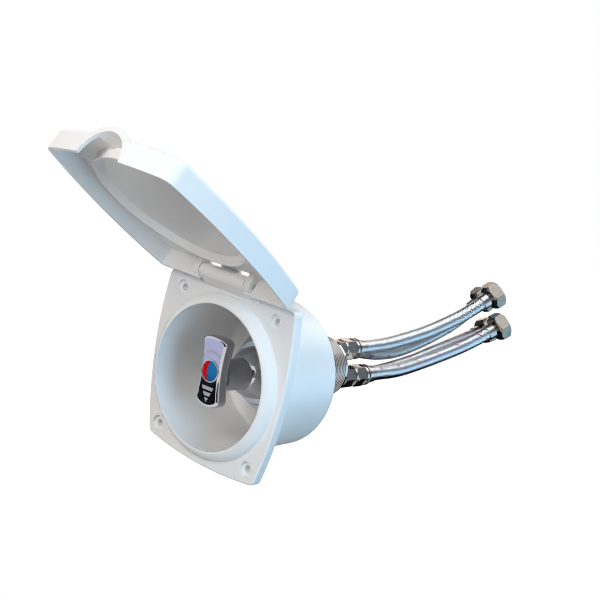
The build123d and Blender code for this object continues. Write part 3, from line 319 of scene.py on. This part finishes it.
def braided_hose(name, points, tracer_place):
    """A closed woven tube round the line, with turns round it and leads along it kept as its own UV map."""
    sides = hose_sides
    turn_start, lead_start = tracer_place
    tangents = [(points[min(i + 1, len(points) - 1)] - points[max(i - 1, 0)]).normalized()
                for i in range(len(points))]
    side = Vector((1, 0, 0))
    vertices, leads, run = [], [], 0.0
    for i, (point, tangent) in enumerate(zip(points, tangents)):
        side = (side - tangent * side.dot(tangent)).normalized()
        other = tangent.cross(side)
        run += (point - points[max(i - 1, 0)]).length
        leads.append(lead_start + run / braid_lead)
        for k in range(sides):
            angle = 2 * math.pi * k / sides
            radius = hose_r - braid_relief(turn_start + k / sides, leads[i])
            vertices.append(point + (side * math.cos(angle) + other * math.sin(angle)) * radius)
    faces, places = [], []
    for i in range(len(points) - 1):
        near, far = i * sides, (i + 1) * sides
        for k in range(sides):
            following = (k + 1) % sides
            faces.append((near + k, near + following, far + following, far + k))
            turn, next_turn = turn_start + k / sides, turn_start + (k + 1) / sides
            places += [(turn, leads[i]), (next_turn, leads[i]),
                       (next_turn, leads[i + 1]), (turn, leads[i + 1])]
    for ring, order in ((0, -1), (len(points) - 1, 1)):
        vertices.append(points[ring])
        for k in range(sides):
            pair = (ring * sides + k, ring * sides + (k + 1) % sides)
            faces.append((*pair[::order], len(vertices) - 1))
            places += [(0, leads[ring])] * 3
    mesh = bpy.data.meshes.new(name)
    mesh.from_pydata(vertices, [], faces)
    mesh.uv_layers.new(name="braid")
    for loop, place in zip(mesh.uv_layers["braid"].data, places):
        loop.uv = place
    hose = bpy.data.objects.new(name, mesh)
    scene.collection.objects.link(hose)
    for face in mesh.polygons:
        face.use_smooth = len(face.vertices) == 4
    return hose


for line_name, route in hose_routes.items():
    centres = hose_line(route)
    hose = braided_hose(f"braided_hose_{line_name}", centres, tracer_places[line_name])
    hose.data.materials.append(braids[line_name])
    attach(hose, "housing")
    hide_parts(f"hose_{line_name}")


# Studio: a white sweep far below the object, a neutral ceiling light, cool daylight from the right, high and
# low, and a fill from the front. Panels round the set, seen by reflections alone, give the polished metal
# its bands.
def area_light(name, place, aim, size, power, colour):
    """A square soft light at a place, turned to its aim."""
    bpy.ops.object.light_add(type="AREA", location=place)
    light = bpy.context.object
    light.name = name
    light.data.size = size
    light.data.energy = power
    light.data.color = colour
    light.visible_glossy = False
    light.rotation_mode = "QUATERNION"
    light.rotation_quaternion = (Vector(aim) - Vector(place)).to_track_quat("-Z", "Y")


area_light("ceiling", (0.25, 0.45, 1.20), aim=(0.0, 0.1, 0.0), size=0.9, power=8.2, colour=(0.97, 0.99, 1.0))
area_light("daylight_right", (1.15, -0.28, 0.30), aim=(0.0, 0.05, 0.02), size=0.5, power=7.8,
           colour=(0.42, 0.73, 1.0))
area_light("fill_front", (0.06, -0.84, 0.52), aim=(0.0, 0.0, 0.0), size=0.5, power=5.7,
           colour=(1.0, 0.96, 0.92))
area_light("daylight_low", (0.75, 0.10, -0.26), aim=(0.0, 0.04, -0.05), size=0.3, power=0.8,
           colour=(0.35, 0.72, 1.0))


def seen_ray(tree):
    """One for a ray from the camera, a reflection or glass, and nought for a ray of stray light."""
    ray = tree.nodes.new("ShaderNodeLightPath")
    in_sight = calc(tree, "MAXIMUM", ray.outputs["Is Camera Ray"], ray.outputs["Is Glossy Ray"])
    return calc(tree, "MAXIMUM", in_sight, ray.outputs["Is Transmission Ray"])


def blend_surface(tree, factor, first, second, output):
    """Sends the first shader to the output, giving way to the second with the factor."""
    mix = tree.nodes.new("ShaderNodeMixShader")
    for source, socket in zip((factor, first.outputs[0], second.outputs[0]), mix.inputs):
        tree.links.new(source, socket)
    tree.links.new(mix.outputs[0], tree.nodes[output].inputs["Surface"])


world = bpy.data.worlds.new("white_room")
scene.world = world
world.use_nodes = True
room = world.node_tree
room_light = room.nodes["Background"]
room_light.inputs["Color"].default_value = (0.95, 0.97, 1.0, 1)
room_light.inputs["Strength"].default_value = 0.19
seen_white = room.nodes.new("ShaderNodeBackground")
seen_white.inputs["Color"].default_value = (1, 1, 1, 1)
seen_white.inputs["Strength"].default_value = 1.0
blend_surface(room, seen_ray(room), room_light, seen_white, "World Output")

# The floor looks white from every side, but it lights the object from below only as a pale floor would.
# It is a little less white near the object.
floor_height = -0.32
floor_size = 12
floor_whiteness = 0.90
whiteness_per_metre = 0.10
bpy.ops.mesh.primitive_plane_add(size=floor_size, location=(0, 0, floor_height))
floor = bpy.context.object
floor.name = "floor"
floor_material, floor_tree, floor_shader = plain_material("pale_floor", (0.42, 0.37, 0.34), 0.8)
floor_white = floor_tree.nodes.new("ShaderNodeEmission")
floor_white.inputs["Strength"].default_value = 1.06
floor_seen = seen_ray(floor_tree)
floor_place = floor_tree.nodes.new("ShaderNodeTexCoord")
floor_distance = floor_tree.nodes.new("ShaderNodeVectorMath")
floor_distance.operation = "LENGTH"
floor_tree.links.new(floor_place.outputs["Object"], floor_distance.inputs[0])
whiteness = calc(floor_tree, "MULTIPLY_ADD", floor_distance.outputs["Value"], whiteness_per_metre,
                 floor_whiteness)
whiteness = calc(floor_tree, "MINIMUM", whiteness, 1)
blend_surface(floor_tree, calc(floor_tree, "MULTIPLY", floor_seen, whiteness), floor_shader, floor_white,
              "Material Output")
floor.data.materials.append(floor_material)


def panel_finish(name, colour):
    """A finish that shows its own colour in reflections, whatever lights it."""
    material, _, shader = plain_material(name, (0.0, 0.0, 0.0), 1.0)
    shader.inputs["Specular IOR Level"].default_value = 0.0
    shader.inputs["Emission Color"].default_value = (*colour, 1)
    shader.inputs["Emission Strength"].default_value = 1.0
    return material


def reflection_panel(name, finish, place, aim, width, height):
    """A flat panel turned to its aim, which only reflections see."""
    bpy.ops.mesh.primitive_plane_add(size=1)
    panel = bpy.context.object
    panel.name = name
    panel.matrix_world = (Matrix.Translation(place)
                          @ (Vector(aim) - Vector(place)).to_track_quat("Z", "Y").to_matrix().to_4x4()
                          @ Matrix.Diagonal((width, height, 1, 1)))
    panel.data.materials.append(finish)
    panel.visible_camera = False
    panel.visible_diffuse = False
    panel.visible_transmission = False
    panel.visible_shadow = False


white_panel = panel_finish("white_panel", (2.1, 2.2, 2.3))
black_panel = panel_finish("black_panel", (0.006, 0.007, 0.010))
slate_panel = panel_finish("slate_panel", (0.22, 0.26, 0.31))
brown_panel = panel_finish("brown_panel", (0.085, 0.058, 0.042))
blue_panel = panel_finish("blue_panel", (0.90, 1.38, 1.80))
lavender_panel = panel_finish("lavender_panel", (0.72, 0.74, 1.05))
cream_panel = panel_finish("cream_panel", (1.3, 1.14, 0.95))
edge_panel = panel_finish("edge_panel", (0.10, 0.13, 0.17))

# A ring of panels round the line of the hoses. Each has its middle and spread in degrees round that line and
# its reach along it, into the wall.
hose_axis = Vector((0.02, 0.0, 0.02))
panel_distance = 0.30
full_reach = (0.07, 1.4)
cream_reach = (0.48, 1.4)
edge_reach = (0.03, 0.47)
for name, finish, middle, spread, (start, end) in (
        ("slate_right", slate_panel, 33, 42, full_reach),
        ("blue_low_right", blue_panel, -10, 44, full_reach),
        ("black_below", black_panel, -92, 120, full_reach),
        ("white_above", white_panel, 78, 48, full_reach),
        ("black_line", black_panel, 113, 18, full_reach),
        ("cream_left", cream_panel, 158, 70, cream_reach),
        ("edge_left", edge_panel, 170, 96, edge_reach)):
    angle = math.radians(middle)
    middle_y = (start + end) / 2
    offset = Vector((panel_distance * math.cos(angle), middle_y, panel_distance * math.sin(angle)))
    reflection_panel(name, finish, hose_axis + offset, hose_axis + Vector((0, middle_y, 0)),
                     width=end - start, height=2 * panel_distance * math.tan(math.radians(spread / 2)))

# In front stand the panels that the lever, the ball cover and the body mirror. The lever's is split into a
# pale upper and a dark lower half.
lever_view = Vector((-0.60, -0.65, 0))
lever_split = -0.235
lever_panel_width = 0.7
lavender_height = 0.24
lavender_middle = Vector((0, 0, lever_split + lavender_height / 2))
dark_middle = Vector((0, 0, (lever_split + floor_height) / 2))
reflection_panel("lavender_front_left", lavender_panel, lever_view + lavender_middle, lavender_middle,
                 width=lever_panel_width, height=lavender_height)
reflection_panel("black_front_left", black_panel, lever_view + dark_middle, dark_middle,
                 width=lever_panel_width, height=lever_split - floor_height)
reflection_panel("brown_front", brown_panel, (0.0, -1.6, 0.25), (0, 0, 0.25), width=2.6, height=1.1)
reflection_panel("slate_front_right", slate_panel, (1.3, -1.1, 0.1), (0, 0, 0.1), width=0.8, height=0.7)


# Surface grain: a broad uneven tone and a fine roughness, used by every piece of the tap but the hoses.
# It stands for handling marks on metal and for the fine spark texture of a mould.
tone_contrast = 2.2
tone_offset = -0.6
surface_grain, given, made = node_group(
    "surface_grain",
    (("Place", "Vector"), ("Broad Scale", "Float"), ("Fine Scale", "Float"), ("Low", "Float"),
     ("High", "Float")),
    (("Roughness", "Float"), ("Height", "Float"), ("Tone", "Float")))
broad = surface_grain.nodes.new("ShaderNodeTexNoise")
broad.inputs["Detail"].default_value = 3
fine = surface_grain.nodes.new("ShaderNodeTexNoise")
fine.inputs["Detail"].default_value = 2
for noise, scale in ((broad, "Broad Scale"), (fine, "Fine Scale")):
    surface_grain.links.new(given.outputs["Place"], noise.inputs["Vector"])
    surface_grain.links.new(given.outputs[scale], noise.inputs["Scale"])
tone = calc(surface_grain, "MULTIPLY_ADD", broad.outputs["Fac"], tone_contrast, tone_offset)
tone = calc(surface_grain, "MINIMUM", calc(surface_grain, "MAXIMUM", tone, 0), 1)
span = calc(surface_grain, "SUBTRACT", given.outputs["High"], given.outputs["Low"])
surface_grain.links.new(calc(surface_grain, "MULTIPLY_ADD", tone, span, given.outputs["Low"]),
                        made.inputs["Roughness"])
surface_grain.links.new(fine.outputs["Fac"], made.inputs["Height"])
surface_grain.links.new(tone, made.inputs["Tone"])


def grained_material(name, colours, roughness, metallic, broad_scale, fine_scale, depth):
    """A material between two close colours and two roughnesses, with a fine bump of the given depth."""
    material, tree, shader = plain_material(name, colours[0], roughness[0], metallic)
    place = tree.nodes.new("ShaderNodeTexCoord")
    grain = tree.nodes.new("ShaderNodeGroup")
    grain.node_tree = surface_grain
    grain.inputs["Broad Scale"].default_value = broad_scale
    grain.inputs["Fine Scale"].default_value = fine_scale
    grain.inputs["Low"].default_value, grain.inputs["High"].default_value = roughness
    tree.links.new(place.outputs["Object"], grain.inputs["Place"])
    tree.links.new(colour_mix(tree, grain.outputs["Tone"], *colours), shader.inputs["Base Color"])
    tree.links.new(grain.outputs["Roughness"], shader.inputs["Roughness"])
    bump_from(tree, shader, grain.outputs["Height"], depth)
    return material


def dress(material, *names):
    """Gives CAD nodes their finish."""
    for name in names:
        nodes[name].data.materials.clear()
        nodes[name].data.materials.append(material)


# Housing: flange, mouth collar, bowl and hinge knuckle in one piece of white ASA, injection moulded.
# The face has a soft gloss, and the screw holes are moulded with their counterbores.
white_plastic = grained_material(
    "white_moulding", ((0.86, 0.86, 0.85), (0.88, 0.88, 0.875)), roughness=(0.30, 0.35), metallic=0.0,
    broad_scale=22, fine_scale=2600, depth=0.00001)
dress(white_plastic, "housing")


# Lid: the same white moulding, with its sealing ring, thumb scoop and hinge lugs.
# It turns on a plain stainless pin that is pressed through the lugs. The lever's axle and screw are of the
# same steel.
dress(white_plastic, "lid")
pin_steel = grained_material(
    "pin_steel", ((0.55, 0.56, 0.58), (0.66, 0.67, 0.68)), roughness=(0.22, 0.4), metallic=1.0,
    broad_scale=90, fine_scale=3000, depth=0.00001)
dress(pin_steel, "hinge_pin", "tilt_pin", "lever_screw")


# Mixer: chrome-plated brass body and ball cover, held to the bowl by a rubber washer and a brass nut.
# The shank behind the nut is threaded almost to its end.
chrome = grained_material(
    "chrome_plate", ((0.50, 0.50, 0.53), (0.58, 0.58, 0.61)), roughness=(0.03, 0.09), metallic=1.0,
    broad_scale=60, fine_scale=2400, depth=0.000002)
nickel = grained_material(
    "nickel_plate", ((0.40, 0.385, 0.37), (0.52, 0.50, 0.48)), roughness=(0.12, 0.22), metallic=1.0,
    broad_scale=80, fine_scale=2600, depth=0.000006)
rubber = grained_material(
    "black_rubber", ((0.018, 0.018, 0.019), (0.035, 0.035, 0.036)), roughness=(0.55, 0.75), metallic=0.0,
    broad_scale=60, fine_scale=1800, depth=0.00003)
dress(chrome, "mixer_body", "ball_cover")
dress(nickel, "back_nut", "cartridge_nut")
dress(rubber, "body_gasket", "back_washer", "base_seals")

thread_pitch = 0.002
thread_start_y = 0.0768
thread_turns = 21
thread_steps = 48
shank_r = 0.024
axis_z = -0.0009
thread_section = ((-0.0009, -0.0004), (0.0009, -0.0004), (0.00018, 0.00075), (-0.00018, 0.00075))
bpy.ops.mesh.primitive_circle_add(vertices=len(thread_section), fill_type="NOTHING")
shank_thread = bpy.context.object
shank_thread.name = "shank_thread"
for vertex, (run, rise) in zip(shank_thread.data.vertices, thread_section):
    vertex.co = (0, run, shank_r + rise)
helix = shank_thread.modifiers.new("helix", "SCREW")
helix.axis = "Y"
helix.screw_offset = thread_pitch
helix.iterations = thread_turns
helix.steps = thread_steps
helix.render_steps = thread_steps
bpy.ops.object.modifier_apply(modifier="helix")
bpy.ops.object.mode_set(mode="EDIT")
bpy.ops.mesh.select_all(action="SELECT")
bpy.ops.mesh.fill_holes(sides=len(thread_section))
bpy.ops.mesh.select_all(action="SELECT")
bpy.ops.transform.translate(value=(0, thread_start_y, axis_z))
bpy.ops.mesh.normals_make_consistent(inside=False)
bpy.ops.object.mode_set(mode="OBJECT")
shank_thread.data.materials.append(nickel)
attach(shank_thread, "housing")


# Cartridge: acetal housing, turret, slider and base around two lapped ceramic discs, with the stem that moves
# them. It sits inside the mixer's body and ball cover.
acetal = grained_material(
    "acetal", ((0.62, 0.62, 0.60), (0.70, 0.70, 0.68)), roughness=(0.4, 0.55), metallic=0.0,
    broad_scale=60, fine_scale=2000, depth=0.00001)
ceramic = grained_material(
    "lapped_ceramic", ((0.82, 0.82, 0.79), (0.88, 0.88, 0.86)), roughness=(0.08, 0.16), metallic=0.0,
    broad_scale=70, fine_scale=3000, depth=0.000004)
dress(acetal, "cartridge_housing", "turret", "disc_slider", "cartridge_base", "stem", "stem_shield")
dress(ceramic, "moving_disc", "fixed_disc")


# Lever: a cast bar with chrome plate, on a dull grey neck that hides the stem.
# A cap in two colours closes the screw's hole inside a chrome ring. The lever's marks are a temperature arc
# and three flow marks.
neck_grey = grained_material(
    "neck_grey", ((0.38, 0.39, 0.42), (0.46, 0.47, 0.50)), roughness=(0.28, 0.40), metallic=0.8,
    broad_scale=70, fine_scale=2600, depth=0.00002)
dress(neck_grey, "lever_neck")
lever_chrome = grained_material(
    "lever_chrome", ((0.50, 0.50, 0.54), (0.58, 0.58, 0.62)), roughness=(0.04, 0.10), metallic=1.0,
    broad_scale=70, fine_scale=2400, depth=0.000002)
dress(lever_chrome, "lever")
dress(chrome, "cap_ring")

lever_lean = math.radians(3)
lever_face_y = -0.0112
lever_across = Vector((math.cos(lever_lean), 0, math.sin(lever_lean)))
lever_up = Vector((-math.sin(lever_lean), 0, math.cos(lever_lean)))
lever_face = Vector((0, lever_face_y, axis_z))
mark_height = 0.00006
mark_seat = 0.00003
mark_grey = grained_material(
    "mark_grey", ((0.36, 0.36, 0.38), (0.44, 0.44, 0.46)), roughness=(0.45, 0.6), metallic=0.0,
    broad_scale=300, fine_scale=4000, depth=0.000004)


def raised_mark(name, outline):
    """A mark that stands a little proud of the lever's face, inside an outline given across and up it."""
    bpy.ops.mesh.primitive_circle_add(vertices=len(outline), fill_type="NGON")
    mark = bpy.context.object
    mark.name = name
    for vertex, (across, height) in zip(mark.data.vertices, outline):
        vertex.co = lever_face + Vector((0, mark_seat, 0)) + lever_across * across + lever_up * height
    bpy.ops.object.mode_set(mode="EDIT")
    bpy.ops.mesh.select_all(action="SELECT")
    bpy.ops.mesh.extrude_region_move(TRANSFORM_OT_translate={"value": (0, -mark_height - mark_seat, 0)})
    bpy.ops.mesh.select_all(action="SELECT")
    bpy.ops.mesh.normals_make_consistent(inside=False)
    bpy.ops.object.mode_set(mode="OBJECT")
    mark.data.materials.append(mark_grey)
    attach(mark, "lever")


for name, (low, low_half), (high, high_half) in (
        ("flow_mark_wide", (-0.0094, 0.0046), (-0.0068, 0.0059)),
        ("flow_mark_middle", (-0.0137, 0.0025), (-0.0110, 0.0040)),
        ("flow_mark_point", (-0.0179, 0.0001), (-0.0151, 0.0019))):
    raised_mark(name, ((-low_half, low), (low_half, low), (high_half, high), (-high_half, high)))

arc_inner_r = 0.0131
arc_outer_r = 0.0146
arc_rise = 0.0045
arc_first, arc_last, arc_step = -28, 35, 3
arc_angles = [math.radians(angle) for angle in range(arc_first, arc_last + 1, arc_step)]


def arc_edge(radius):
    """The temperature arc's edge at that radius, as places across and up the lever."""
    return [(radius * math.sin(angle), arc_rise + radius * math.cos(angle)) for angle in arc_angles]


raised_mark("temperature_arc", arc_edge(arc_outer_r) + arc_edge(arc_inner_r)[::-1])

cap_specular = 0.02
for cap, shade in (("cap_red", ((0.54, 0.001, 0.002), (0.62, 0.002, 0.003))),
                   ("cap_blue", ((0.010, 0.13, 0.32), (0.016, 0.16, 0.38)))):
    gloss = grained_material(f"{cap}_gloss", shade, roughness=(0.05, 0.10), metallic=0.0,
                             broad_scale=90, fine_scale=2400, depth=0.000002)
    gloss.node_tree.nodes["Principled BSDF"].inputs["Specular IOR Level"].default_value = cap_specular
    dress(gloss, cap)


# Hose fittings: nickel-plated brass nipples, union nuts and swivel nuts, and crimped steel ferrules.
# The swivel nuts carry a flat rubber washer on the nozzle's seat.
# The swivel nuts' nickel is a darker, browner copy of the nickel above: painted shade that stands for the
# dark reflections they show.
painted_shade_nickel = grained_material(
    "painted_shade_nickel", ((0.19, 0.17, 0.145), (0.30, 0.27, 0.23)), roughness=(0.16, 0.26), metallic=1.0,
    broad_scale=80, fine_scale=130, depth=0.0005)
ferrule_steel = grained_material(
    "ferrule_steel", ((0.42, 0.40, 0.39), (0.56, 0.53, 0.51)), roughness=(0.18, 0.32), metallic=1.0,
    broad_scale=90, fine_scale=2600, depth=0.00001)
for line_name in hose_routes:
    dress(nickel, f"nipple_{line_name}", f"near_nut_{line_name}", f"tail_{line_name}")
    # The swivel nuts take the darker copy of the nickel, with its painted shade.
    dress(painted_shade_nickel, f"swivel_nut_{line_name}")
    dress(ferrule_steel, f"near_ferrule_{line_name}", f"far_ferrule_{line_name}")
    dress(rubber, f"washer_{line_name}")
